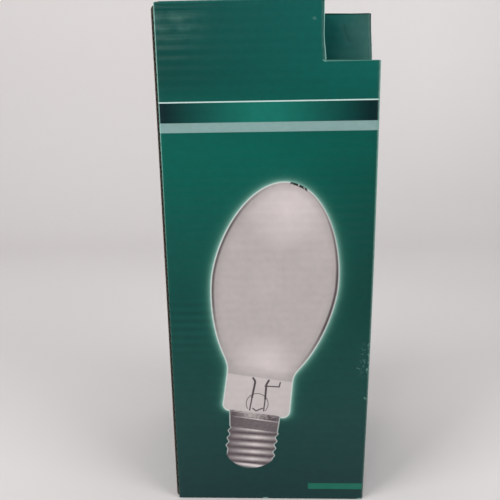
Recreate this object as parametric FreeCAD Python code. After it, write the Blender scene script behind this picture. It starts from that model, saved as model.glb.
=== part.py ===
"""Tall corrugated carton for one large lamp, with a pushed-in front corner and a tuck lid.

Millimetres. X runs to the right, Y to the back and Z up, as seen from in front of the
printed panel. The origin is the middle of the footprint, on the surface it stands on.
"""
import FreeCAD, Part
import math
import os

from FreeCAD import Vector

# Outside of the closed carton
width = 98.0
depth = 98.0
height = 243.5

# Corrugated board
board = 1.3
liner = 0.25
medium = 0.25
flute_pitch = 4.2
flute_pocket = 2.0
fold_radius = 1.9

# Glued seam down the front left edge
glue_line = 0.1
glue_flap_width = 22.0
glue_flap_taper = 7.0
raw_edge_setback = 0.3

# Corner pushed in at the front right, above a slit through that edge
corner_size = 24.3
corner_height = 25.3

# Lid and its tuck flap
lid_clearance = 0.3
lid_inset = 1.2
lid_cutout_setback = 9.0
hinge_relief = 2.5
tuck_length = 16.0
tuck_inset = 2.0
tuck_corner_radius = 9.0

# Flaps under the lid and in the bottom
dust_flap_length = 40.0
dust_flap_taper = 6.0
dust_flap_corner_radius = 6.0
flap_gap = 0.4
bottom_inset = 0.8
bottom_tab_length = 14.0
corner_lift = 0.3

# Planes of the outer faces
left_x = -width / 2
right_x = width / 2
front_y = -depth / 2
back_y = depth / 2

# Levels where the top panels end and where the corner is slit
flap_level = height - board - lid_clearance
slit_level = height - corner_height

# Faces of the pushed-in corner and of the glued seam
corner_x = right_x - corner_size
corner_y = front_y + corner_size
glue_x = left_x + board + glue_line
raw_edge_y = front_y + raw_edge_setback

# Lid, out to the fold of its tuck flap, which leans in so that its tip swings clear of the back
lid_left = left_x + lid_inset
lid_right = right_x - lid_inset
lid_corner_x = corner_x - lid_clearance
lid_corner_y = corner_y + lid_cutout_setback
lid_reach = depth - board - lid_clearance
lid_back_y = front_y + lid_reach
tuck_tip_y = front_y + math.sqrt(lid_reach ** 2 - tuck_length ** 2)

# How far a cutting block runs past what it cuts, and how far a folded edge joins its panel
overrun = 1.0
fold_run = 3 * fold_radius


def plan(level):
    """Place a drawing in the horizontal plane at this height."""
    return lambda u, v: Vector(u, v, level)


def upright_yz(x):
    """Place a drawing in the upright plane that faces sideways at this x."""
    return lambda u, v: Vector(x, u, v)


def upright_xz(y):
    """Place a drawing in the upright plane that faces front at this y."""
    return lambda u, v: Vector(u, y, v)


def unit(start, end):
    length = math.dist(start, end)
    return (end[0] - start[0]) / length, (end[1] - start[1]) / length


def rounded_corner(before, corner, after, radius):
    """Tangent points, middle point and centre of an arc that rounds off a corner."""
    into = unit(before, corner)
    out = unit(corner, after)
    turn = math.atan2(into[0] * out[1] - into[1] * out[0], into[0] * out[0] + into[1] * out[1])
    back = radius * math.tan(abs(turn) / 2)
    side = math.copysign(1.0, turn)
    start = (corner[0] - into[0] * back, corner[1] - into[1] * back)
    end = (corner[0] + out[0] * back, corner[1] + out[1] * back)
    centre = (start[0] - into[1] * radius * side, start[1] + into[0] * radius * side)
    ray = unit(centre, corner)
    middle = (centre[0] + ray[0] * radius, centre[1] + ray[1] * radius)
    return start, middle, end, turn


def chain_edges(points, radii, place):
    """Straight runs along the points, joined by an arc at each inner point."""
    edges = []
    here = points[0]
    for before, corner, after, radius in zip(points, points[1:], points[2:], radii):
        start, middle, end, _ = rounded_corner(before, corner, after, radius)
        edges.append(Part.LineSegment(place(*here), place(*start)).toShape())
        edges.append(Part.Arc(place(*start), place(*middle), place(*end)).toShape())
        here = end
    edges.append(Part.LineSegment(place(*here), place(*points[-1])).toShape())
    return edges


def shifted(points, distance):
    """The same run of points moved to its left by a distance, corners kept."""
    moved = []
    for index, point in enumerate(points):
        before = points[max(index - 1, 0)]
        after = points[min(index + 1, len(points) - 1)]
        into = unit(before, point) if before != point else unit(point, after)
        out = unit(point, after) if after != point else into
        middle = (-into[1] - out[1], into[0] + out[0])
        scale = distance * 2 / (middle[0] ** 2 + middle[1] ** 2)
        moved.append((point[0] + middle[0] * scale, point[1] + middle[1] * scale))
    return moved


def board_section(points, place):
    """Section of one strip of board whose outer face follows the points, inside on the left."""
    inner = shifted(points, board)
    outer_radii = []
    inner_radii = []
    for before, corner, after in zip(points, points[1:], points[2:]):
        turn = rounded_corner(before, corner, after, fold_radius)[3]
        outer_radii.append(fold_radius if turn > 0 else fold_radius - board)
        inner_radii.append(fold_radius - board if turn > 0 else fold_radius)
    edges = chain_edges(points, outer_radii, place)
    edges.append(Part.LineSegment(place(*points[-1]), place(*inner[-1])).toShape())
    edges += chain_edges(inner[::-1], inner_radii[::-1], place)
    edges.append(Part.LineSegment(place(*inner[0]), place(*points[0])).toShape())
    return Part.Face(Part.Wire(edges))


def outline(points, radii, place):
    """Closed outline whose corners are rounded where their radius is over zero."""
    edges = []
    corners = []
    for index, corner in enumerate(points):
        after = points[(index + 1) % len(points)]
        if radii[index] > 0:
            corners.append(rounded_corner(points[index - 1], corner, after, radii[index])[:3])
        else:
            corners.append((corner, None, corner))
    for index, (start, middle, end) in enumerate(corners):
        if middle:
            edges.append(Part.Arc(place(*start), place(*middle), place(*end)).toShape())
        following = corners[(index + 1) % len(corners)][0]
        edges.append(Part.LineSegment(place(*end), place(*following)).toShape())
    return Part.Face(Part.Wire(edges))


def block(x_range, y_range, z_range):
    """Box between two values on each axis."""
    size = [max(pair) - min(pair) for pair in (x_range, y_range, z_range)]
    return Part.makeBox(*size, Vector(min(x_range), min(y_range), min(z_range)))


def flute_openings(start, end, place, along):
    """Hollows between the wavy medium and each liner, on an edge cut across the flutes.

    u runs along the edge, v through the board from its outer face.
    """
    near = liner
    far = board - liner
    wide = flute_pitch / 2 + medium
    narrow = flute_pitch / 2 - 2 * medium - wide / 2
    count = int((end - start) / (flute_pitch / 2)) - 1
    margin = ((end - start) - (count - 1) * flute_pitch / 2) / 2
    openings = []
    for index in range(count):
        middle = start + margin + index * flute_pitch / 2
        foot, crown = (near, far - medium) if index % 2 == 0 else (far, near + medium)
        corners = [
            (middle - wide / 2, foot),
            (middle + wide / 2, foot),
            (middle + narrow / 2, crown),
            (middle - narrow / 2, crown),
        ]
        openings.append(outline(corners, [0, 0, 0, 0], place).extrude(along))
    return Part.makeCompound(openings)


def walls():
    """The wrap of four panels, closed below the slit and with the corner pushed in above it."""
    seam = (glue_x, front_y + fold_radius)
    seam_corner = (glue_x, front_y)
    rest = [(right_x, back_y), (left_x, back_y), (left_x, raw_edge_y)]
    whole = [seam, seam_corner, (right_x, front_y)] + rest
    pushed_in = [
        seam,
        seam_corner,
        (corner_x, front_y),
        (corner_x, corner_y),
        (right_x, corner_y),
    ] + rest
    low = seam_section(whole, corner_lift).extrude(Vector(0, 0, slit_level - corner_lift))
    high = seam_section(pushed_in, slit_level).extrude(Vector(0, 0, flap_level - slit_level))
    return low.fuse(high)


def seam_section(points, level):
    """Plan of the wrap, whose first fold has no straight run before it."""
    lead = (points[0][0], points[0][1] + board)
    return board_section([lead] + points[1:], plan(level))


def glue_flap():
    """Flap that continues the front panel behind the left panel's edge, with its glue."""
    low = 2 * board + flap_gap
    high = flap_level - board - flap_gap
    near = front_y + fold_radius
    far = front_y + glue_flap_width
    corners = [
        (near, low),
        (far, low + glue_flap_taper),
        (far, high - glue_flap_taper),
        (near, high),
    ]
    section = outline(corners, [0, 0, 0, 0], upright_yz(left_x + board))
    return section.extrude(Vector(glue_line + board, 0, 0))


def dust_flap(side, level, up, root, notch, front_taper=dust_flap_taper):
    """A side panel's flap, folded in at a level, and the window that its fold fills.

    side is -1 for the left panel and 1 for the right one, up is 1 at the top. root is the
    stretch of fold along Y, and notch is where the flap proper starts behind the front.
    """
    wall_x = side * width / 2
    inner_x = wall_x - side * board
    free_x = wall_x - side * dust_flap_length
    past_x = wall_x + side * overrun
    path = [(free_x, level), (wall_x, level), (wall_x, level - up * fold_run)]
    if side * up > 0:
        path.reverse()
    strip = board_section(path, upright_xz(root[0])).extrude(Vector(0, root[1] - root[0], 0))
    corners = [
        (past_x, root[0]),
        (inner_x, root[0]),
        (free_x, notch + front_taper),
        (free_x, root[1] - dust_flap_taper),
        (inner_x, root[1]),
        (past_x, root[1]),
    ]
    radii = [0, 0, dust_flap_corner_radius, dust_flap_corner_radius, 0, 0]
    if notch > root[0]:
        corners.insert(2, (inner_x, notch))
        radii.insert(2, 0)
    low = min(level + up * overrun, level - up * (fold_run + overrun))
    prism = outline(corners, radii, plan(low)).extrude(Vector(0, 0, fold_run + 2 * overrun))
    window = block(
        (past_x, inner_x - side * glue_line / 2),
        root,
        (level + up * (board + overrun), level - up * fold_radius),
    )
    return strip.common(prism), window


def bottom_flap():
    """Bottom flap of the front panel with its tab, glued up inside the back panel."""
    left = glue_x + bottom_inset
    right = right_x - fold_radius
    tab_y = back_y - board - glue_line
    path = [(front_y, fold_run), (front_y, 0), (tab_y, 0), (tab_y, bottom_tab_length)]
    flap = board_section(path, upright_yz(left)).extrude(Vector(right - left, 0, 0))
    glue = block(
        (left, right),
        (tab_y - board / 2, back_y - board / 2),
        (fold_radius, bottom_tab_length),
    )
    near = front_y + fold_radius
    far = tab_y - fold_radius
    left_edge = flute_openings(near, far, lambda u, v: Vector(left, u, v), Vector(flute_pocket, 0, 0))
    right_edge = flute_openings(near, far, lambda u, v: Vector(right, u, v), Vector(-flute_pocket, 0, 0))
    window = block((left, right), (front_y - overrun, front_y + board), (-overrun, fold_radius))
    return flap.fuse(glue).cut(left_edge).cut(right_edge), window


def seam_relief():
    """What is rounded off the front panel's top corner, beside the glued seam."""
    centre_x = glue_x + hinge_relief
    centre_z = flap_level - hinge_relief
    deep = fold_radius + overrun
    corner = block(
        (glue_x - glue_line / 2, centre_x),
        (front_y - overrun, front_y + fold_radius),
        (centre_z, flap_level + overrun),
    )
    kept = Part.makeCylinder(hinge_relief, deep, Vector(centre_x, front_y - overrun, centre_z),
                             Vector(0, 1, 0))
    return corner.cut(kept)


def carton():
    """All of the folded sheet apart from its lid."""
    shape = walls().fuse(glue_flap()).cut(seam_relief())
    top_back = tuck_tip_y - board - flap_gap
    bottom_back = back_y - 2 * board - glue_line - flap_gap
    beside_front = front_y + board + flap_gap
    beside_corner = corner_y + board + flap_gap
    flaps = [
        dust_flap(-1, flap_level, 1, (raw_edge_y, top_back), beside_front),
        dust_flap(1, flap_level, 1, (beside_corner, top_back), beside_corner, flap_gap),
        dust_flap(-1, board, -1, (raw_edge_y, bottom_back), beside_front),
        dust_flap(1, board, -1, (beside_front, bottom_back), beside_front),
        bottom_flap(),
    ]
    for _, window in flaps:
        shape = shape.cut(window)
    for flap, _ in flaps:
        shape = shape.fuse(flap)
    raw_edge = flute_openings(
        board + fold_radius,
        flap_level - fold_radius,
        lambda u, v: Vector(left_x + v, raw_edge_y, u),
        Vector(0, flute_pocket, 0),
    )
    return shape.removeSplitter().cut(raw_edge)


def lid_outline():
    """The lid seen from above, cut out round the pushed-in corner."""
    return [
        (lid_left + hinge_relief, front_y),
        (lid_corner_x, front_y),
        (lid_corner_x, lid_corner_y),
        (lid_right, lid_corner_y),
        (lid_right, back_y),
        (lid_left, back_y),
        (lid_left, front_y + 2 * hinge_relief),
    ]


def tuck_outline():
    """The lid seen from the front, with the rounded corners of its tuck flap."""
    tip = height - tuck_length
    shoulder = height - board
    top = height + overrun
    tab_left = lid_left + tuck_inset
    tab_right = lid_right - tuck_inset
    return [
        (tab_left, tip - overrun),
        (tab_right, tip - overrun),
        (tab_right, shoulder),
        (right_x, shoulder),
        (right_x, top),
        (left_x, top),
        (left_x, shoulder),
        (tab_left, shoulder),
    ]


def top_lid():
    """Lid that swings on the front panel's top fold, with its tuck flap."""
    path = [(tuck_tip_y, height - tuck_length), (lid_back_y, height), (front_y, height)]
    shape = board_section(path, upright_yz(left_x)).extrude(Vector(width, 0, 0))
    seen_from_above = outline(lid_outline(), [0] * 7, plan(height - tuck_length - overrun))
    seen_from_front = outline(tuck_outline(), [tuck_corner_radius] * 2 + [0] * 6, upright_xz(front_y))
    shape = shape.common(seen_from_above.extrude(Vector(0, 0, tuck_length + 2 * overrun)))
    shape = shape.common(seen_from_front.extrude(Vector(0, depth, 0)))
    hinge_edges = [edge for edge in shape.Edges if on_hinge_line(edge)]
    shape = shape.makeFillet(board - liner, hinge_edges)
    for x, near, far, inward in (
        (lid_left, front_y + 2 * hinge_relief, lid_back_y - fold_radius, 1),
        (lid_corner_x, front_y + fold_radius, lid_corner_y, -1),
        (lid_right, lid_corner_y, lid_back_y - fold_radius, -1),
    ):
        openings = flute_openings(
            near,
            far,
            lambda u, v: Vector(x, u, height - v),
            Vector(inward * flute_pocket, 0, 0),
        )
        shape = shape.cut(openings)
    return shape


def on_hinge_line(edge):
    return all(abs(v.Y - front_y) < 1e-6 and abs(v.Z - height) < 1e-6 for v in edge.Vertexes)


def export(shape, name):
    solids = shape.Solids
    print(name, "solids", len(solids), "valid", shape.isValid(), "volume", round(shape.Volume, 1))
    solids[0].exportStep("parts/" + name + ".step")


os.makedirs("parts", exist_ok=True)
export(carton(), "carton")
export(top_lid(), "top_lid")
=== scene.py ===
"""Tall printed lamp carton with a pushed-in front corner and a tuck lid, as it looks.

Metres. X runs to the right, Y to the back and Z up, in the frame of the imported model.
"""
import math

import bmesh
import bpy
from mathutils import Matrix, Vector


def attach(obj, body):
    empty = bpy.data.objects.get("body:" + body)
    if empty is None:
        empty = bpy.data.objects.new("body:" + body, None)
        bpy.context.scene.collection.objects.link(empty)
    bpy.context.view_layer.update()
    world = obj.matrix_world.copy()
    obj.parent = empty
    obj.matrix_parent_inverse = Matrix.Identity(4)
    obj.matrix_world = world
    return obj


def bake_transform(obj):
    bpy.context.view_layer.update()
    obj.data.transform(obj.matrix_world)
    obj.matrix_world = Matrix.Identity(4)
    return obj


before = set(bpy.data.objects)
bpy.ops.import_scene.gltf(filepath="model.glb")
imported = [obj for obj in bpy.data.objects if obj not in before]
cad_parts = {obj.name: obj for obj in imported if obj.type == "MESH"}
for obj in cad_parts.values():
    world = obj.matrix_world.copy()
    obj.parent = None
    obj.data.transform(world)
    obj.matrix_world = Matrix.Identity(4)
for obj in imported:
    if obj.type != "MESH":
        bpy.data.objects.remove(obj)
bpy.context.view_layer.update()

mm = 0.001

# Carton, as in the solids
width = 98.0 * mm
depth = 98.0 * mm
height = 243.5 * mm
board = 1.3 * mm
fold_radius = 1.9 * mm
flute_pitch = 4.2 * mm
corner_size = 24.3 * mm
corner_height = 25.3 * mm
lid_clearance = 0.3 * mm
right_x = width / 2
left_x = -width / 2
front_y = -depth / 2
back_y = depth / 2
corner_x = right_x - corner_size
corner_y = front_y + corner_size
slit_level = height - corner_height
flap_level = height - board - lid_clearance

# Glued seam at the front left: where the front's board ends, and the fold of its paper
glue_x = -47.6 * mm
seam_x = -47.95 * mm
seam_radius = 0.6 * mm

# Bands printed round the carton
line_top = 202.25 * mm
line_low = 201.7 * mm
band_top = 193.15 * mm
band_low = 188.95 * mm

# Plain bar printed at the front's foot
label_left = 20.1 * mm
label_right = 48.3 * mm
label_low = 6.2 * mm
label_top = 9.6 * mm

# Printed paper on the front and the right side, laid just proud of the solids
skin_proud = 0.05 * mm
skin_thickness = 0.2 * mm
washboard = 0.025 * mm
skin_foot = 0.3 * mm
skin_top = 239.4 * mm
strip_top = 241.85 * mm
strip_gap = 0.4 * mm
seam_steps = 5
fold_steps = 8

# Relief that the materials add: flutes, flutes where the light glances off, paper and sag
wave_relief = 0.03 * mm
glossy_relief = 0.22 * mm
lid_wave_relief = 0.035 * mm
grain_relief = 0.02 * mm
sag_relief = 0.6 * mm

# Top left corner of the printed fold to the lid, cut back and rounded
seam_relief = 2.7 * mm
seam_rounding = 0.9 * mm

# How the paper bulges near the slit, down the right fold and round the pushed-in corner
slit_rise = 0.35 * mm
slit_rise_length = 20.0 * mm
slit_rise_depth = 3.0 * mm
fold_bulge = 1.0 * mm
fold_bulge_height = 12.0 * mm
side_bow = 0.9 * mm
side_bow_depth = 22.0 * mm
side_bow_foot = 4.0 * mm
side_bow_length = slit_level + 24.0 * mm
corner_push = 1.25 * mm
push_height = 24.0 * mm
push_ahead = 22.0 * mm
push_behind = 36.0 * mm

# Lamp pictured on the front panel: where its neck joins the bulb, and how far it leans
lamp_x = -4.4 * mm
lamp_z = 70.0 * mm
lamp_lean = math.radians(8.5)

# Its bulb and neck, in millimetres across (u) and up (v) from that point
bulb_middle = 0.2
bulb_half_width = 30.4
bulb_widest = 49.0
bulb_rise = 48.8
bulb_drop = 54.5
bulb_reach = 52.0
bulb_fullness = 1.75
least_slope = 0.004
neck_left = -16.65
neck_right = 17.6
neck_taper = 0.065
neck_taper_start = -16.0
neck_middle = -4.35
neck_half_height = 16.35
neck_corner = 3.8
neck_blend = 4.2

# Its screw cap, likewise
cap_middle = 0.75
cap_half_width = 12.5
cap_top = -20.0
cap_collar = -28.8
cap_foot = -45.2
cap_foot_slant = 0.08
collar_flare = 0.14
thread_top = -29.2
thread_start = -30.85
thread_middle = 0.7
thread_slant = 0.073
thread_pitch = 4.25
thread_depth = 1.1
thread_inset = 0.6
last_turn = -42.4
tip_middle = 1.2
tip_half_width = 11.8
tip_height = 6.9
tip_slant = 0.06
tip_squareness = 1.6
tip_scale = 4.4

# Colours of the print, the board, the studio and the pictured lamp
pale_line = (198, 220, 215)
pale_band = (134, 164, 161)
green_top = (14, 86, 80)
green_word = (7, 84, 76)
green_high = (2, 93, 81)
green_middle = (0, 71, 64)
green_low = (22, 67, 63)
green_foot = (24, 57, 57)
dark_band_end = (2, 38, 40)
dark_band_middle = (20, 112, 99)
# Pale of rubbed print, also used as painted highlight on folds, cut edges and flutes, and a paler
# one for the front's seam and pushed-in folds
pale_wear_and_highlight = (128, 174, 161)
edge_wear_and_highlight = (156, 212, 200)
print_mottle = (60, 110, 102)
kraft = (158, 136, 108)
kraft_dark = (136, 114, 88)
kraft_spot = (120, 100, 78)
cut_edge = (60, 58, 53)
fold_shadow = (16, 44, 38)
strip_shaded_green = (18, 98, 93)
strip_lit_green = (58, 104, 98)
label_bar = (30, 109, 90)
glow_green = (38, 114, 99)
glow_pale = (146, 188, 177)
floor_grey = (214, 210, 209)
wall_grey = (222, 218, 217)
painted_light_grey = (236, 232, 232)
studio_light = (235, 236, 240)
lamp_rim = (203, 213, 209)
lamp_glass = (182, 173, 172)
lamp_glass_light = (216, 205, 205)
lamp_glass_dark = (156, 148, 146)
lamp_neck = (202, 193, 193)
lamp_seam = (164, 156, 157)
lamp_ink = (76, 66, 70)
speck_ink = (30, 44, 42)
metal_dark = (92, 82, 85)
metal_shade = (124, 114, 116)
metal_middle = (154, 144, 145)
metal_bright = (186, 177, 177)
metal_light = (213, 204, 203)
cap_rim = (186, 196, 193)
cap_tip = (70, 82, 82)

# Camera, where the photograph was taken from
camera_place = (-0.99 * mm, -277.06 * mm, 188.27 * mm)
camera_yaw = math.radians(1.865)
camera_tilt = math.radians(13.107)
camera_roll = math.radians(-0.866)


def linear(colour):
    """Colour as the eye reads it, from 0 to 255, to the light that it stands for."""
    shares = [level / 255 for level in colour]
    light = [((c + 0.055) / 1.055) ** 2.4 if c > 0.04045 else c / 12.92 for c in shares]
    return tuple(light) + (1.0,)


class Field:
    """A number that varies over a surface, worked out by the nodes of one material."""

    def __init__(self, tree, socket):
        self.tree = tree
        self.socket = socket

    def math(self, operation, *others, clamp=False):
        node = self.tree.nodes.new("ShaderNodeMath")
        node.operation = operation
        node.use_clamp = clamp
        for place, value in enumerate((self,) + others):
            if isinstance(value, Field):
                self.tree.links.new(value.socket, node.inputs[place])
            else:
                node.inputs[place].default_value = value
        return Field(self.tree, node.outputs[0])

    def __add__(self, other):
        return self.math("ADD", other)

    def __sub__(self, other):
        return self.math("SUBTRACT", other)

    def __mul__(self, other):
        return self.math("MULTIPLY", other)

    def __truediv__(self, other):
        return self.math("DIVIDE", other)

    def __pow__(self, other):
        return self.math("POWER", other)

    def abs(self):
        return self.math("ABSOLUTE")

    def least(self, other):
        return self.math("MINIMUM", other)

    def most(self, other):
        return self.math("MAXIMUM", other)

    def positive(self):
        return self.most(0.0)

    def invert(self):
        return self.math("MULTIPLY_ADD", -1.0, 1.0, clamp=True)

    def over(self, limit, soft):
        """1 where the number is over the limit, with a soft change this wide."""
        return ((self - (limit - soft / 2)) / soft).math("ADD", 0.0, clamp=True)

    def under(self, limit, soft):
        return self.over(limit, soft).invert()

    def between(self, low, high, soft):
        return self.over(low, soft) * self.under(high, soft)


def distance(a, b):
    """Length of the line from the origin to a and b."""
    return (a * a + b * b).math("SQRT")


class Shader:
    """One material, with short calls for the nodes it is made of."""

    def __init__(self, name):
        self.material = bpy.data.materials.new(name)
        self.material.use_nodes = True
        self.tree = self.material.node_tree
        self.surface = self.tree.nodes["Principled BSDF"]
        coordinates = self.tree.nodes.new("ShaderNodeTexCoord")
        self.place = coordinates.outputs["Object"]
        self.x, self.y, self.z = self.split(self.place)
        self.nx, self.ny, self.nz = self.split(coordinates.outputs["Normal"])

    def split(self, socket):
        node = self.tree.nodes.new("ShaderNodeSeparateXYZ")
        self.tree.links.new(socket, node.inputs[0])
        return [Field(self.tree, output) for output in node.outputs]

    def colour(self, value):
        """A colour's socket, for one written as red, green and blue or made by another node."""
        if not isinstance(value, tuple):
            return value
        node = self.tree.nodes.new("ShaderNodeRGB")
        node.outputs[0].default_value = linear(value)
        return node.outputs[0]

    def mix(self, factor, under, over, blend="MIX"):
        node = self.tree.nodes.new("ShaderNodeMix")
        node.data_type = "RGBA"
        node.blend_type = blend
        for place, value in ((6, under), (7, over)):
            if isinstance(value, tuple):
                node.inputs[place].default_value = linear(value)
            else:
                self.tree.links.new(value, node.inputs[place])
        if isinstance(factor, Field):
            self.tree.links.new(factor.socket, node.inputs[0])
        else:
            node.inputs[0].default_value = factor
        return node.outputs[2]

    def point(self, u, v):
        """Vector of two fields."""
        node = self.tree.nodes.new("ShaderNodeCombineXYZ")
        self.tree.links.new(u.socket, node.inputs[0])
        self.tree.links.new(v.socket, node.inputs[1])
        return node.outputs[0]

    def vector(self, operation, first, second):
        """A vector operation on two places, each a socket or its across and up."""
        node = self.tree.nodes.new("ShaderNodeVectorMath")
        node.operation = operation
        for place, value in enumerate((first, second)):
            if isinstance(value, tuple):
                node.inputs[place].default_value = value + (0.0,)
            else:
                self.tree.links.new(value, node.inputs[place])
        return node.outputs["Value" if operation in ("DOT_PRODUCT", "DISTANCE") else "Vector"]

    def stroke(self, point, *corners):
        """Distance from a line drawn through the corners."""
        nearest = None
        for start, end in zip(corners, corners[1:]):
            run = (end[0] - start[0], end[1] - start[1])
            away = self.vector("SUBTRACT", point, start)
            along = Field(self.tree, self.vector("DOT_PRODUCT", away, run))
            share = (along / (run[0] ** 2 + run[1] ** 2)).math("ADD", 0.0, clamp=True)
            foot = self.vector("MULTIPLY", run, share.socket)
            gap = Field(self.tree, self.vector("DISTANCE", away, foot))
            nearest = nearest.least(gap) if nearest else gap
        return nearest

    def ramp(self, field, *stops):
        """Colours at rising levels of a field that runs from 0 to 1."""
        node = self.tree.nodes.new("ShaderNodeValToRGB")
        self.tree.links.new(field.socket, node.inputs[0])
        elements = node.color_ramp.elements
        elements[0].position, elements[0].color = stops[0][0], linear(stops[0][1])
        elements[1].position, elements[1].color = stops[-1][0], linear(stops[-1][1])
        for level, colour in stops[1:-1]:
            elements.new(level).color = linear(colour)
        return node.outputs[0]

    def shade(self, colour, factor):
        """A colour made lighter or darker by a field."""
        node = self.tree.nodes.new("ShaderNodeVectorMath")
        node.operation = "SCALE"
        self.tree.links.new(colour, node.inputs[0])
        self.tree.links.new(factor.socket, node.inputs["Scale"])
        return node.outputs[0]

    def noise(self, size, detail=2.0, stretch=(1.0, 1.0, 1.0)):
        """Cloudy noise from 0 to 1 whose patches are about this size."""
        scaled = self.tree.nodes.new("ShaderNodeVectorMath")
        scaled.operation = "MULTIPLY"
        self.tree.links.new(self.place, scaled.inputs[0])
        scaled.inputs[1].default_value = stretch
        node = self.tree.nodes.new("ShaderNodeTexNoise")
        node.inputs["Scale"].default_value = 1 / size
        node.inputs["Detail"].default_value = detail
        self.tree.links.new(scaled.outputs[0], node.inputs["Vector"])
        return Field(self.tree, node.outputs[0])

    def finish(self, colour, roughness, height, strength=1.0, specular=0.18):
        """Colour, roughness and relief in metres."""
        self.tree.links.new(colour, self.surface.inputs["Base Color"])
        if isinstance(roughness, Field):
            self.tree.links.new(roughness.socket, self.surface.inputs["Roughness"])
        else:
            self.surface.inputs["Roughness"].default_value = roughness
        self.surface.inputs["Specular IOR Level"].default_value = specular
        bump = self.tree.nodes.new("ShaderNodeBump")
        bump.inputs["Distance"].default_value = 1.0
        bump.inputs["Strength"].default_value = strength
        self.tree.links.new(height.socket, bump.inputs["Height"])
        self.tree.links.new(bump.outputs[0], self.surface.inputs["Normal"])
        return self.material


def printed_fields(shader):
    """The green print with its pale line, its dark band and its pale band, and painted light and
    shade over the green.
    """
    rise = shader.z / height
    green = shader.ramp(
        rise,
        (0.0, green_foot),
        (0.2, green_low),
        (0.45, green_middle),
        (0.74, green_high),
        (0.86, green_word),
        (1.0, green_top),
    )
    tilt = (shader.x / right_x).least(1.0).most(-1.0)
    # Painted light and shade: across the top the green is painted darker on the left and lighter on
    # the right, and the right half is painted darker between about 95 and 195 mm up.
    factor = tilt * shader.z.over(205 * mm, 14 * mm) * 0.3 + 1.0
    factor = factor - tilt.positive() * shader.z.between(95 * mm, 195 * mm, 50 * mm) * 0.25
    green = shader.shade(green, factor)
    across = tilt.abs()
    dark = shader.ramp(across, (0.12, dark_band_middle), (0.92, dark_band_end))
    sharp = 0.15 * mm
    colour = shader.mix(shader.z.between(band_top, line_low, sharp), green, dark)
    colour = shader.mix(shader.z.between(band_low, band_top, sharp), colour, pale_band)
    return shader.mix(shader.z.between(line_low, line_top, sharp), colour, pale_line)


def board_relief(shader):
    """Washboard over the flutes, and the grain of the paper."""
    waves = (shader.z * (math.tau / flute_pitch)).math("SINE")
    slow = shader.noise(30 * mm)
    grain = shader.noise(0.5 * mm, 3.0)
    glossy = shader.x.between(-46 * mm, -31 * mm, 10 * mm) * shader.z.over(224 * mm, 16 * mm)
    depth = slow * wave_relief + glossy * slow * glossy_relief
    return waves * depth + grain * grain_relief + slow * sag_relief


def printed_surface(shader, colour):
    """Colour of the printed paper with faint mottling, and its roughness."""
    mottle = shader.noise(3 * mm, 4.0)
    fibre = shader.noise(0.35 * mm, 2.0)
    colour = shader.mix((mottle - 0.5) * 0.35 + 0.12, colour, print_mottle, "SOFT_LIGHT")
    rough = fibre * 0.1 + mottle * 0.08 + 0.24
    return colour, rough


def printed_board(name):
    """Board printed on its outer faces, plain kraft inside, and dark grey with painted shade on its
    cut edges.
    """
    shader = Shader(name)
    x, y, z = shader.x, shader.y, shader.z
    nx, ny, nz = shader.nx, shader.ny, shader.nz
    sharp = 0.1 * mm
    side = x.math("SIGN") * nx * x.abs().over(right_x - fold_radius, sharp)
    end = y.math("SIGN") * ny * y.abs().over(back_y - fold_radius, sharp)
    outward = (side + end).over(0.5, 0.2)
    raw = x.under(glue_x - 0.05 * mm, sharp) * y.under(0.0, sharp) * ny.under(-0.7, 0.1)
    pushed_side = nx.over(0.5, 0.2) * x.between(corner_x - fold_radius, corner_x + 0.2 * mm, sharp)
    pushed_side = pushed_side * y.under(corner_y + 0.5 * mm, sharp)
    pushed_wall = ny.under(-0.3, 0.2) * y.between(corner_y - 2 * mm, corner_y + 1.3 * mm, sharp)
    pushed_wall = pushed_wall * x.over(corner_x - 0.5 * mm, sharp)
    pushed = pushed_side.most(pushed_wall) * z.over(slit_level - 0.4 * mm, sharp)
    flaps = nz.over(0.5, 0.2) * z.over(flap_level - 0.4 * mm, sharp)
    flaps = flaps * y.abs().under(back_y - board, sharp)
    corner_top = x.over(corner_x - board - 0.1 * mm, sharp)
    corner_top = (corner_top * y.under(corner_y + board + 0.1 * mm, sharp)).invert()
    under = nz.under(-0.5, 0.2) * z.under(board, sharp)
    printed = outward.most(pushed).most(flaps * corner_top).most(under) * raw.invert()
    fibre = shader.noise(0.6 * mm, 4.0, (1.0, 1.0, 0.35))
    speckle = shader.noise(6 * mm, 3.0)
    paper = shader.mix(fibre, kraft, kraft_dark)
    paper = shader.mix(speckle.over(0.62, 0.1) * 0.4, paper, kraft_spot)
    seam_ply = x.between(left_x + 0.05 * mm, glue_x - 0.02 * mm, 0.02 * mm)
    upright_edge = raw.most(seam_ply * y.under(front_y + 6 * mm, 2 * mm))
    level_edge = nz.abs().over(0.7, 0.1) * z.over(flap_level - 0.3 * mm, sharp)
    edge = upright_edge.most(level_edge)
    # Cut edges painted dark grey: the grey board's own edge, darkened further as painted shade.
    paper = shader.mix(edge * 0.94, paper, cut_edge)
    colour, rough = printed_surface(shader, printed_fields(shader))
    # Corner folds painted pale: worn print and a painted highlight.
    fold = x.abs().over(right_x - 1.1 * mm, 0.8 * mm) * y.abs().over(back_y - 1.1 * mm, 0.8 * mm)
    colour = shader.mix(fold_wear_and_highlight(shader, fold), colour, pale_wear_and_highlight)
    colour = shader.mix(printed, paper, colour)
    rough = rough * printed + printed.invert() * 0.85
    return shader.finish(colour, rough, board_relief(shader))


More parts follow.
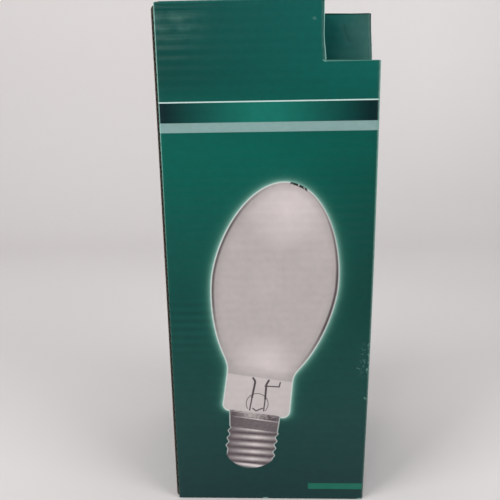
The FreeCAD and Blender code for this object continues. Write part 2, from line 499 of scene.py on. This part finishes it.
def lid_board(name):
    """The lid's board, printed above and on the outside of its tuck flap."""
    shader = Shader(name)
    y, z = shader.y, shader.z
    sharp = 0.1 * mm
    top = shader.nz.over(0.4, 0.2) * z.over(height - 0.9 * mm, sharp)
    tuck = shader.ny.over(0.4, 0.2) * z.under(height - 0.5 * mm, sharp) * y.over(44 * mm, sharp)
    front = shader.ny.under(-0.5, 0.2) * y.under(front_y + 0.6 * mm, sharp)
    printed = top.most(tuck).most(front)
    fibre = shader.noise(0.6 * mm, 4.0, (1.0, 0.35, 1.0))
    paper = shader.mix(fibre, kraft, kraft_dark)
    edge = (shader.nx.abs().over(0.7, 0.1)).most(shader.ny.under(-0.7, 0.1))
    # Cut edges painted dark grey: the grey board's own edge, darkened further as painted shade.
    paper = shader.mix(edge * 0.8, paper, cut_edge)
    colour, rough = printed_surface(shader, shader.colour(green_top))
    worn = shader.noise(1.2 * mm, 5.0)
    fold = y.over(47 * mm, 1.5 * mm)
    colour = shader.mix(fold * (worn * 0.5 + 0.2), colour, pale_wear_and_highlight)
    colour = shader.mix(printed, paper, colour)
    rough = rough * printed + printed.invert() * 0.85
    waves = (y * (math.tau / flute_pitch)).math("SINE")
    slow = shader.noise(30 * mm)
    grain = shader.noise(0.5 * mm, 3.0)
    relief = waves * slow * lid_wave_relief + grain * grain_relief + slow * sag_relief
    return shader.finish(colour, rough, relief)


def lamp_glass_outline(u, v):
    """Distance outside the pictured bulb and neck, in millimetres."""
    aside = u - bulb_middle
    rise = ((v - bulb_widest) / bulb_rise).most((v - bulb_widest) / -bulb_drop)
    level = (aside / bulb_half_width) ** 2 + rise ** bulb_fullness - 1.0
    steep = bulb_fullness / bulb_reach
    slope = distance(aside * (2 / bulb_half_width ** 2), rise ** (bulb_fullness - 1) * steep)
    bulb = level / slope.most(least_slope)
    above_foot = (v - neck_taper_start).positive()
    left_side = (u * -1.0) + neck_left
    right_side = u - neck_right + above_foot * neck_taper
    beside = left_side.most(right_side) + neck_corner
    below = (v - neck_middle).abs() - (neck_half_height - neck_corner)
    rounded = distance(beside.positive(), below.positive())
    neck = rounded + beside.most(below).least(0.0) - neck_corner
    return bulb.math("SMOOTH_MIN", neck, neck_blend)


def lamp_cap_outline(u, v):
    """Distance outside the pictured screw cap, distance outside its sides, its thread's phase,
    and where it has a thread."""
    slant = (u - thread_middle) * thread_slant
    turn = (v - thread_start - slant) * (math.tau / thread_pitch)
    ridge = turn.math("COSINE") * 0.5 + 0.5
    threaded = v.under(thread_top, 0.6)
    plain = v.under(last_turn, 0.3) * u.under(0.0, 1.0)
    collar = (v - cap_collar).positive() * u.under(0.0, 1.0) * collar_flare
    turned = ridge * plain.invert() * thread_depth - thread_inset
    half = threaded * turned + cap_half_width + collar
    aside = (u - cap_middle).abs() - half
    sleeve = aside.most(v - cap_top).most((v - u * cap_foot_slant - cap_foot) * -1.0)
    across = ((u - tip_middle) / tip_half_width).abs() ** tip_squareness
    down = ((v - u * tip_slant - cap_foot) / tip_height).abs() ** tip_squareness
    dome = (across + down - 1.0) * tip_scale
    return sleeve.least(dome), aside, turn, threaded


def lamp_picture(shader, colour):
    """A plain elliptical lamp, neck up from its screw cap, in tones of grey with a glow."""
    across = (shader.x - lamp_x) / mm
    up = (shader.z - lamp_z) / mm
    u = across * math.cos(lamp_lean) - up * math.sin(lamp_lean)
    v = across * math.sin(lamp_lean) + up * math.cos(lamp_lean)
    sharp = 0.25
    outside = lamp_glass_outline(u, v)
    near = v.over(-22.0, 8.0)
    halo = (outside.positive() / -2.0).math("EXPONENT") * near
    colour = shader.mix(halo * 0.75, colour, glow_green)
    halo = (outside.positive() / -0.8).math("EXPONENT") * near
    colour = shader.mix(halo * 0.8, colour, glow_pale)

    # Bulb, lighter near its top and its neck
    top_light = (distance((u - 0.5) / 24.0, (v - 86.0) / 22.0)).invert()
    low_light = (distance((u - 2.5) / 18.0, (v - 9.0) / 16.0)).invert()
    cloud = (shader.noise(14 * mm, 3.0) - 0.5) * 0.5
    light = (top_light * 0.9 + low_light * 0.85 + cloud).math("ADD", 0.0, clamp=True)
    glass = shader.mix(light, lamp_glass, lamp_glass_light)
    glass = shader.mix((outside / 5.0 + 1.0).positive() * 0.55, glass, lamp_glass_dark)
    glass = shader.mix(v.under(0.0, 0.5) * 0.75, glass, lamp_neck)
    seam = v.between(-0.2, 5.0, 0.8) * (v / -6.0 + 1.0) * 0.5
    glass = shader.mix(seam, glass, lamp_seam)

    # Its dark edges, heavier at the right below the middle, and the pale rim outside them
    heavy = v.under(72.0, 34.0)
    right_rim = (outside - heavy.invert() * 0.7).between(-1.8, -0.5, 0.8)
    right_rim = right_rim * u.over(2.0, 16.0) * v.between(18.0, 92.0, 24.0)
    at_left = u.under(-4.0, 12.0)
    left_rim = outside.between(-1.7, -0.5, 1.0) * at_left * v.between(24.0, 86.0, 24.0)
    left_shade = (outside / 7.0 + 1.0).positive() * at_left * v.between(30.0, 90.0, 24.0)
    glass = shader.mix(left_shade * 0.45, glass, lamp_glass_dark)
    glass = shader.mix(right_rim * (heavy * 0.45 + 0.5), glass, lamp_ink)
    glass = shader.mix(left_rim * 0.85, glass, lamp_ink)
    rim = outside.over(-0.5, 0.4) * (u.over(10.0, 16.0) * v.over(24.0, 16.0) * -0.4 + 1.0)
    glass = shader.mix(rim, glass, lamp_rim)
    specks = shader.noise(1.6 * mm, 2.0).over(0.42, 0.08) * outside.between(-1.1, 0.2, 0.3)
    specks = specks * u.between(0.4, 8.4, 0.8) * v.over(90.0, 1.0)
    glass = shader.mix(specks, glass, speck_ink)
    colour = shader.mix(outside.under(0.0, sharp), colour, glass)

    # Lead-in wires and the glass stem that holds them
    spot = shader.point(u, v)
    thick = shader.stroke(spot, (-3.3, -0.9), (-2.3, -2.0), (-2.0, -3.2), (-2.45, -11.4))
    thick = thick.least(shader.stroke(spot, (4.6, -1.0), (3.7, -3.4), (4.2, -11.3)))
    thin = shader.stroke(spot, (-2.45, -11.4), (-2.7, -18.6))
    thin = thin.least(shader.stroke(spot, (4.2, -11.3), (4.35, -18.0)))
    thin = thin.least(shader.stroke(spot, (3.2, -4.3), (10.2, -3.7), (10.4, -1.3)))
    thin = thin.least(shader.stroke(spot, (-1.2, -17.5), (0.6, -18.6), (2.4, -17.4), (3.6, -16.8)))
    loop = ((distance((u - 0.6) / 5.5, (v + 14.6) / 5.7) - 1.0) * 5.6).abs()
    loop = loop + v.under(-18.2, 0.4) * 2.0
    colour = shader.mix(thick.under(0.5, 0.35), colour, lamp_ink)
    colour = shader.mix(thin.under(0.33, 0.35), colour, lamp_ink)
    colour = shader.mix(loop.under(0.2, 0.35) * 0.9, colour, lamp_ink)
    streaks = shader.noise(1.5 * mm, 3.0, (1.0, 1.0, 2.5))

    # Screw cap, brighter on each turn of its thread
    cap, aside, turn, threaded = lamp_cap_outline(u, v)
    shine = (turn - 2.2).math("COSINE") * 0.5 + 0.5
    middle = ((u - 2.5) / 13.5).abs().invert() ** 0.6
    lit = threaded * shine * middle + threaded.invert() * (middle * 0.12 + 0.02)
    lit = lit + v.between(-23.6, -22.9, 0.3) * middle * 0.8
    lit = lit + v.between(-50.4, -49.3, 0.6) * middle * 0.6
    lit = lit + (streaks - 0.5) * 0.25
    metal = shader.ramp(
        lit,
        (0.0, metal_dark),
        (0.22, metal_shade),
        (0.5, metal_middle),
        (0.75, metal_bright),
        (1.0, metal_light),
    )
    metal = shader.mix(aside.over(-0.55, 0.4) * v.over(-45.0, 2.0) * 0.75, metal, cap_rim)
    metal = shader.mix(v.under(-50.9, 1.0) * 0.75, metal, cap_tip)
    colour = shader.mix(cap.under(0.0, sharp), colour, metal)

    # Foot of the stem, seen through the glass just above the cap
    foot = u.between(-12.0, 11.6, 0.8) * v.between(-22.9, -19.8, 0.6)
    tone = streaks * 1.3 - 0.5 + ((u + 1.5) / 9.0).abs().invert() * 0.5 + (v + 22.9) * 0.08
    stem = shader.ramp(tone, (0.2, metal_dark), (0.8, lamp_glass))
    return shader.mix(foot * 0.95, colour, stem)


def fold_wear_and_highlight(shader, fold):
    """How much a printed fold is painted pale, as worn print and as a painted highlight, less so
    towards the foot of the carton.
    """
    worn = shader.noise(1.2 * mm, 5.0)
    height_share = (shader.z / (170 * mm) - 0.25).math("ADD", 0.0, clamp=True)
    return fold * (worn * 0.5 + 0.45) * (height_share * 0.75 + 0.25)


def strip_print(shader, colour):
    """The pushed-in wall's print with painted light, paler to the right and low on the right, a
    dent drawn in painted highlight and painted shadow, and painted shade along its right fold and
    top edge.
    """
    x, z = shader.x, shader.z
    wall = shader.ny.under(-0.3, 0.3) * shader.y.over(corner_y - 2 * mm, 1 * mm)
    wall = wall * z.over(slit_level - 1 * mm, 0.2 * mm)
    share = ((x - corner_x) / (right_x - corner_x)).math("ADD", 0.0, clamp=True)
    cloud = shader.noise(9 * mm, 3.0) - 0.5
    # Painted light: the wall's green runs from a shaded tone on the left to a lit tone on the
    # right.
    tone = shader.ramp(share + cloud * 0.5, (0.25, strip_shaded_green), (0.95, strip_lit_green))
    spot = shader.point(x / mm, z / mm)
    dent = shader.stroke(spot, (36.0, 237.2), (37.2, 234.0), (39.0, 229.9))
    ridge = shader.stroke(spot, (35.2, 236.6), (36.4, 233.6), (38.1, 229.6))
    # The dent as a painted highlight beside a painted shadow.
    tone = shader.mix(ridge.under(0.7, 1.2) * 0.3, tone, strip_lit_green)
    tone = shader.mix(dent.under(0.4, 1.0) * 0.25, tone, fold_shadow)
    # More painted light low on the right, and painted shade along the right fold and the top edge.
    low = z.under(slit_level + 12 * mm, 22 * mm)
    tone = shader.shade(tone, low * share * 0.8 + share * -0.1 + 1.0)
    tone = shader.mix(x.over(right_x - 1.0 * mm, 0.8 * mm) * 0.3, tone, fold_shadow)
    tone = shader.mix(z.over(strip_top - 0.5 * mm, 0.4 * mm) * 0.75, tone, fold_shadow)
    return shader.mix(wall, colour, tone)


def small_marks(shader, colour, ahead):
    """Specks and scuffs where the front's print is rubbed through."""
    spot = shader.point(shader.x / mm, shader.z / mm)
    worn = shader.noise(0.8 * mm, 3.0) * 0.8 + 0.3
    tear = shader.stroke(spot, (24.3, 218.6), (25.2, 218.1)).under(0.3, 0.4) * 0.8
    speck = shader.stroke(spot, (20.0, 235.3), (20.5, 235.2)).under(0.5, 0.7) * 0.3
    specks = shader.noise(1.1 * mm, 2.0).over(0.56, 0.06)
    near_fold = shader.x.over(45.5 * mm, 4 * mm) * 0.25 + shader.x.over(48.2 * mm, 0.5 * mm) * 0.6
    rub = specks * shader.z.between(72 * mm, 87 * mm, 5 * mm) * near_fold
    scratch = shader.stroke(spot, (43.3, 75.1), (44.6, 74.6)).under(0.2, 0.3) * 0.4
    foot = shader.stroke(spot, (-3.2, 0.6), (-1.0, 0.5)).under(0.3, 0.3)
    foot = foot.most(shader.stroke(spot, (46.2, 0.5), (47.6, 0.5)).under(0.3, 0.3))
    corner = shader.stroke(spot, (47.6, 58.9), (48.4, 58.2)).under(0.4, 0.4) * 0.5
    marks = tear.most(speck).most(rub).most(scratch).most(foot).most(corner)
    return shader.mix(marks * ahead * worn, colour, pale_wear_and_highlight)


def washboard_sheen_and_shade(shader, colour):
    """Painted sheen over the flutes near the seam's top, and painted light and shade in faint
    stripes over the flutes lower down.
    """
    waves = (shader.z * (math.tau / flute_pitch)).math("SINE")
    beside = shader.x.under(-29 * mm, 12 * mm)
    high = beside * shader.z.over(229 * mm, 12 * mm)
    low = beside * shader.z.between(84 * mm, 110 * mm, 10 * mm)
    patchy = shader.noise(5 * mm, 3.0)
    # Painted light and shade: faint stripes over the flutes lower down.
    colour = shader.shade(colour, low * waves * 0.11 + 1.0)
    # Painted sheen over the flutes near the seam's top, in patches.
    painted_sheen = high * (waves * 0.3 + 0.7) * (patchy - 0.25).positive() * 0.35
    return shader.mix(painted_sheen, colour, pale_wear_and_highlight)


def front_print(name, picture=True):
    """The front panel's print, with the lamp's picture and the marks unless it is for the fold, its
    folds painted pale with wear and painted highlight, a painted highlight above the slit and
    painted shade along the top fold.
    """
    shader = Shader(name)
    colour = printed_fields(shader)
    if picture:
        bar = shader.x.between(label_left, label_right, 0.2 * mm)
        bar = bar * shader.z.between(label_low, label_top, 0.2 * mm)
        colour = shader.mix(bar, colour, label_bar)
        colour = lamp_picture(shader, colour)
        colour = washboard_sheen_and_shade(shader, colour)
    colour, rough = printed_surface(shader, colour)
    x, y, z = shader.x, shader.y, shader.z
    ahead = y.under(front_y + 2.2 * mm, 0.1 * mm)
    # Folds painted pale: worn print and a painted highlight where the paper turns back.
    inner_fold = x.under(30 * mm, 1 * mm)
    narrow = inner_fold * (0.4 * mm)
    turned = (y - narrow).between(front_y + 0.3 * mm, front_y + 1.9 * mm, 0.4 * mm)
    seam_fold = x.under(seam_x + 0.45 * mm, 0.3 * mm)
    turned = turned.most(seam_fold * (z.over(150 * mm, 70 * mm) * 0.45 + 0.15))
    wear_and_highlight = (fold_wear_and_highlight(shader, turned * ahead) * 1.25).least(1.0)
    colour = shader.mix(wear_and_highlight, colour, shader.mix(inner_fold, pale_wear_and_highlight, edge_wear_and_highlight))
    # Painted highlight along the cut edge above the slit.
    rim = z.between(slit_level - 0.3 * mm, slit_level + 0.5 * mm, 0.1 * mm)
    rim = rim * x.over(corner_x + 0.6 * mm, 0.4 * mm)
    colour = shader.mix(rim * ahead * 0.32, colour, pale_wear_and_highlight)
    # Painted shadow along the top fold to the lid.
    top_fold_shade = z.over(height - 0.6 * mm, 0.4 * mm) * y.under(front_y + 1.5 * mm, 0.5 * mm)
    colour = shader.mix(top_fold_shade * 0.7, colour, fold_shadow)
    if picture:
        colour = small_marks(shader, colour, ahead)
    return shader.finish(colour, rough, board_relief(shader))


def side_print(name):
    """Print of the right side and of the pushed-in wall above the slit, with painted light and
    shade, and its front fold painted pale with wear and a painted highlight.
    """
    shader = Shader(name)
    colour = strip_print(shader, printed_fields(shader))
    colour, rough = printed_surface(shader, colour)
    # Front fold painted pale: worn print and a painted highlight.
    turned = shader.y.under(front_y + fold_radius + 0.1 * mm, 0.1 * mm)
    colour = shader.mix(fold_wear_and_highlight(shader, turned), colour, pale_wear_and_highlight)
    return shader.finish(colour, rough, board_relief(shader))


def arc_path(centre, start_angle, end_angle, radius, steps):
    """Points round an arc in plan, each with its outward direction."""
    path = []
    for step in range(steps + 1):
        angle = math.radians(start_angle + (end_angle - start_angle) * step / steps)
        out = (math.cos(angle), math.sin(angle))
        path.append(((centre[0] + out[0] * radius, centre[1] + out[1] * radius), out))
    return path


def run_path(start, end, out, spacing):
    """Points along a straight run, without its two ends."""
    steps = max(2, round(math.dist(start, end) / spacing))
    return [
        (tuple(a + (b - a) * step / steps for a, b in zip(start, end)), out)
        for step in range(1, steps)
    ]


def levels(low, high, spacing):
    """Heights from low to high, about this far apart."""
    steps = max(1, round((high - low) / spacing))
    return [low + (high - low) * step / steps for step in range(steps + 1)]


def lift(z):
    """How proud the printed paper stands over the flutes at a height."""
    return skin_proud + washboard * 0.5 * (1 + math.sin(math.tau * z / flute_pitch))


def eased(share):
    """A share from 0 to 1 with a soft start and end."""
    share = min(max(share, 0.0), 1.0)
    return share * share * (3 - 2 * share)


def pushed_in_bulge(x, y, z):
    """How far the pushed-in fold stands out sideways just above the slit."""
    near_slit = 1 - eased((z - slit_level) / fold_bulge_height)
    return fold_bulge * near_slit * eased((x - corner_x + fold_radius) / fold_radius)


def side_fold_bow(x, y, z):
    """How far the right side bows out: down its front fold, and round the pushed-in corner."""
    along = math.sin(math.pi * min((z + side_bow_foot) / side_bow_length, 1.0))
    behind = 1 - eased((y - front_y - fold_radius) / side_bow_depth)
    reach = push_ahead if y < corner_y else push_behind
    pushed = 1 - eased(abs(z - slit_level) / push_height)
    pushed = pushed * (1 - eased(abs(y - corner_y) / reach))
    share = eased((x - right_x + 3 * fold_radius) / (3 * fold_radius))
    return (side_bow * along * behind + corner_push * pushed) * share


def no_bow(x, y, z):
    """For a stretch that stays flat."""
    return 0.0


def slit_edge(x, z):
    """How far the paper stands above the slit at its left end, easing out downwards."""
    along = 1 - eased((x - corner_x) / slit_rise_length)
    near_slit = eased((z - slit_level + slit_rise_depth) / slit_rise_depth)
    return slit_rise * along * near_slit * (x > corner_x)


def add_wrap(mesh, path, heights, bow=no_bow):
    """Sheet that follows a path in plan, just proud of it, between these heights."""
    rows = []
    for z in heights:
        row = []
        for (x, y), out in path:
            side = x + out[0] * lift(z) + bow(x, y, z)
            row.append(mesh.verts.new((side, y + out[1] * lift(z), z + slit_edge(x, z))))
        rows.append(row)
    for low, high in zip(rows, rows[1:]):
        for a, b, c, d in zip(low, low[1:], high[1:], high):
            mesh.faces.new((a, b, c, d))


def lay_out_print(mesh):
    """UV map for baking, filled by the outer face but for a margin for the inner one."""
    bmesh.ops.recalc_face_normals(mesh, faces=mesh.faces)
    layout = mesh.loops.layers.uv.new("OFBake")
    start = seam_x - 2 * seam_radius
    span = right_x + 2 * fold_radius + side_bow - start
    inner_start, inner_share = 0.004, 0.01
    outer_start, outer_share = 0.03, 0.96
    foot, rise = 0.01, 0.98
    for face in mesh.faces:
        middle = face.calc_center_median()
        fold_x = seam_x + seam_radius if middle.x < 0 else middle.x
        inward = middle - Vector((fold_x, front_y + fold_radius, middle.z))
        inner = middle.y > front_y + skin_thickness / 3 and face.normal.dot(inward) < 0
        for corner in face.loops:
            place = corner.vert.co
            turned = place.y - front_y
            along = (place.x + (turned if place.x > 0 else -turned) - start) / span
            outer = outer_start + outer_share * along
            across = inner_start + inner_share * along if inner else outer
            corner[layout].uv = (across, foot + rise * place.z / height)


def finished_object(name, mesh, material, body):
    """Piece made of a closed mesh, riding on a body if one is given."""
    bmesh.ops.recalc_face_normals(mesh, faces=mesh.faces)
    data = bpy.data.meshes.new(name)
    mesh.to_mesh(data)
    mesh.free()
    data.shade_smooth()
    data.set_sharp_from_angle(angle=math.radians(40))
    piece = bpy.data.objects.new(name, data)
    bpy.context.collection.objects.link(piece)
    data.materials.append(material)
    if body:
        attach(piece, body)
    return piece


def thicken(mesh, thickness):
    """Close a sheet into a thin solid, inwards."""
    bmesh.ops.remove_doubles(mesh, verts=mesh.verts, dist=1e-6)
    bmesh.ops.recalc_face_normals(mesh, faces=mesh.faces)
    bmesh.ops.solidify(mesh, geom=mesh.faces[:], thickness=thickness)


def front_skin():
    """Printed paper on the front panel, from the glued seam round its right fold."""
    mesh = bmesh.new()
    ahead = (0.0, -1.0)
    flat_start = (seam_x + seam_radius, front_y)
    divide = (corner_x - fold_radius, front_y)
    flat_end = (right_x - fold_radius, front_y)
    seam_centre = (flat_start[0], front_y + seam_radius)
    inner_centre = (divide[0], front_y + fold_radius)
    right_centre = (flat_end[0], front_y + fold_radius)
    turn_left = arc_path(seam_centre, 180, 270, seam_radius, seam_steps)
    turn_right = arc_path(right_centre, 270, 360, fold_radius, fold_steps)
    turn_in = arc_path(inner_centre, 270, 360, fold_radius, fold_steps)
    wide = turn_left + run_path(flat_start, divide, ahead, 4 * mm) + [(divide, ahead)]
    low_part = [(divide, ahead)] + run_path(divide, flat_end, ahead, 2 * mm) + turn_right
    spacing = flute_pitch / 6
    low_levels = levels(skin_foot, slit_level, spacing)
    high_levels = levels(slit_level, skin_top, spacing)
    add_wrap(mesh, wide, low_levels)
    add_wrap(mesh, low_part, low_levels, side_fold_bow)
    add_wrap(mesh, wide, high_levels)
    add_wrap(mesh, turn_in, high_levels, pushed_in_bulge)
    thicken(mesh, skin_thickness)
    lay_out_print(mesh)
    return finished_object("front_print", mesh, front_print("front_print"), "carton")


def side_skin():
    """Printed paper on the right side and on the pushed-in wall, bowed out round the corner."""
    mesh = bmesh.new()
    ahead = (0.0, -1.0)
    aside = (1.0, 0.0)
    low_start = (right_x, front_y + fold_radius)
    high_start = (right_x, corner_y + fold_radius)
    end = (right_x, back_y - fold_radius)
    strip_start = (corner_x + strip_gap, corner_y)
    strip_end = (right_x - fold_radius, corner_y)
    turn_centre = (strip_end[0], high_start[1])
    turn_strip = arc_path(turn_centre, 270, 360, fold_radius, fold_steps)
    strip = [(strip_start, ahead)] + run_path(strip_start, strip_end, ahead, 2 * mm) + turn_strip
    low = [(low_start, aside)] + run_path(low_start, high_start, aside, 3 * mm)
    low += [(high_start, aside)]
    behind = run_path(high_start, end, aside, 4 * mm) + [(end, aside)]
    spacing = flute_pitch / 6
    add_wrap(mesh, low + behind, levels(skin_foot, slit_level, spacing), side_fold_bow)
    add_wrap(mesh, strip + behind, levels(slit_level, strip_top, spacing), side_fold_bow)
    thicken(mesh, skin_thickness)
    return finished_object("side_print", mesh, side_print("side_print"), "carton")


def fold_row(left, right):
    """Places across the front's face, each with how far it has turned back at the two folds."""
    row = []
    start = left + seam_radius
    end = right - fold_radius
    for step in range(seam_steps + 1):
        angle = math.radians(90 - 90 * step / seam_steps)
        across = left + seam_radius * (1 - math.sin(angle))
        row.append((across, seam_radius * (1 - math.cos(angle))))
    row += [(start + (end - start) * step / 30, 0.0) for step in range(1, 30)]
    for step in range(fold_steps + 1):
        angle = math.radians(90 * step / fold_steps)
        row.append((end + fold_radius * math.sin(angle), fold_radius * (1 - math.cos(angle))))
    return row


def lid_fold():
    """Printed paper over the fold between the front panel and the lid."""
    mesh = bmesh.new()
    bend_y = front_y + fold_radius
    bend_z = height - fold_radius
    path = [(front_y - lift(z), z) for z in levels(skin_top, bend_z - 0.2 * mm, 0.5 * mm)]
    reach = fold_radius + lift(bend_z)
    bend_steps = 10
    for step in range(bend_steps + 1):
        angle = math.radians(90 * step / bend_steps)
        path.append((bend_y - reach * math.cos(angle), bend_z + reach * math.sin(angle)))
    path += [(bend_y + step * mm, height + lift(bend_z)) for step in range(1, 4)]
    rows = []
    for y, z in path:
        rise = min(max((z - height + seam_rounding) / seam_rounding, 0.0), 1.0)
        left = seam_x + seam_relief * (1 - math.sqrt(1 - rise ** 2))
        over = eased((z - bend_z) / fold_radius)
        across = fold_row(left, corner_x)
        rows.append([mesh.verts.new((x, y + back * (1 - over), z)) for x, back in across])
    for low, high in zip(rows, rows[1:]):
        for a, b, c, d in zip(low, low[1:], high[1:], high):
            mesh.faces.new((a, b, c, d))
    thicken(mesh, skin_thickness)
    piece = finished_object("lid_fold", mesh, front_print("fold_print", False), None)
    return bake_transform(piece)


def dress_nodes():
    """Materials for the nodes that stay as the solids have them."""
    for name, material in (
        ("carton", printed_board("carton_board")),
        ("top_lid", lid_board("lid_board")),
    ):
        node = bpy.data.objects[name]
        for slot in node.material_slots:
            slot.material = material


def stage():
    """Pale floor that sweeps up into a backdrop, the wall painted lighter than the floor and a pool
    of painted light to the right.
    """
    mesh = bmesh.new()
    floor_front = -1.2
    floor_back = 0.55
    sweep = 0.35
    half = 2.0
    wall_top = 2.4
    steps = 12
    profile = [(floor_front, 0.0), (floor_back, 0.0)]
    for step in range(1, steps + 1):
        angle = math.radians(90 * step / steps)
        profile.append((floor_back + sweep * math.sin(angle), sweep - sweep * math.cos(angle)))
    profile.append((floor_back + sweep, wall_top))
    rows = [[mesh.verts.new((side * half, y, z)) for side in (-1, 1)] for y, z in profile]
    for low, high in zip(rows, rows[1:]):
        mesh.faces.new((low[0], low[1], high[1], high[0]))
    data = bpy.data.meshes.new("backdrop")
    mesh.to_mesh(data)
    mesh.free()
    data.shade_smooth()
    piece = bpy.data.objects.new("backdrop", data)
    bpy.context.collection.objects.link(piece)
    shader = Shader("backdrop")
    # Painted light: the wall lighter than the floor, and paler still to the right.
    tone = shader.mix(shader.z.over(0.25, 0.4), floor_grey, wall_grey)
    right = shader.x.over(0.18, 0.35) * shader.z.over(0.2, 0.3).most(shader.y.under(0.2, 0.3))
    tone = shader.mix(right * 0.7, tone, painted_light_grey)
    material = shader.finish(tone, 0.9, shader.noise(0.4) * mm)
    data.materials.append(material)


def softbox(name, place, target, size, power):
    """Lamp with a soft rectangular face, turned towards a target."""
    light = bpy.data.lights.new(name, "AREA")
    light.shape = "RECTANGLE"
    light.size, light.size_y = size
    light.energy = power
    lamp = bpy.data.objects.new(name, light)
    bpy.context.collection.objects.link(lamp)
    lamp.location = place
    lamp.rotation_euler = (Vector(target) - Vector(place)).to_track_quat("-Z", "Y").to_euler()


def lights():
    """Soft studio light, a small lamp that glances off the flutes, and a pale world."""
    middle = (0.0, 0.0, 0.12)
    seam_top = (-0.04, front_y, 0.23)
    softbox("key", place=(-1.15, -0.75, 0.7), target=middle, size=(0.8, 0.8), power=15.0)
    softbox("fill", place=(1.1, -0.7, 0.8), target=middle, size=(0.8, 0.8), power=9.0)
    softbox("top", place=(0.0, 0.0, 1.3), target=middle, size=(1.0, 1.0), power=6.0)
    softbox("glare", place=(-0.34, -0.95, 0.6), target=seam_top, size=(0.2, 0.1), power=1.0)
    world = bpy.data.worlds.new("studio")
    bpy.context.scene.world = world
    world.use_nodes = True
    tree = world.node_tree
    soft = tree.nodes["Background"]
    soft.inputs["Color"].default_value = linear(studio_light)
    soft.inputs["Strength"].default_value = 0.22
    pale = tree.nodes.new("ShaderNodeBackground")
    pale.inputs["Color"].default_value = linear(wall_grey)
    path = tree.nodes.new("ShaderNodeLightPath")
    mix = tree.nodes.new("ShaderNodeMixShader")
    tree.links.new(path.outputs["Is Camera Ray"], mix.inputs[0])
    tree.links.new(soft.outputs[0], mix.inputs[1])
    tree.links.new(pale.outputs[0], mix.inputs[2])
    tree.links.new(mix.outputs[0], tree.nodes["World Output"].inputs["Surface"])


def camera():
    """Camera at the photograph's place: close, above the middle and looking down."""
    data = bpy.data.cameras.new("camera")
    data.lens = 36.0
    data.sensor_width = 36.0
    data.clip_start = 0.01
    view = bpy.data.objects.new("camera", data)
    bpy.context.collection.objects.link(view)
    yaw = Matrix.Rotation(camera_yaw, 4, "Z")
    pitch = Matrix.Rotation(math.pi / 2 - camera_tilt, 4, "X")
    roll = Matrix.Rotation(camera_roll, 4, "Z")
    view.matrix_world = Matrix.Translation(camera_place) @ yaw @ pitch @ roll
    bpy.context.scene.camera = view


camera()
lights()
stage()
dress_nodes()
front_skin()
side_skin()
lid_fold()

scene = bpy.context.scene
scene.view_settings.view_transform = "Standard"
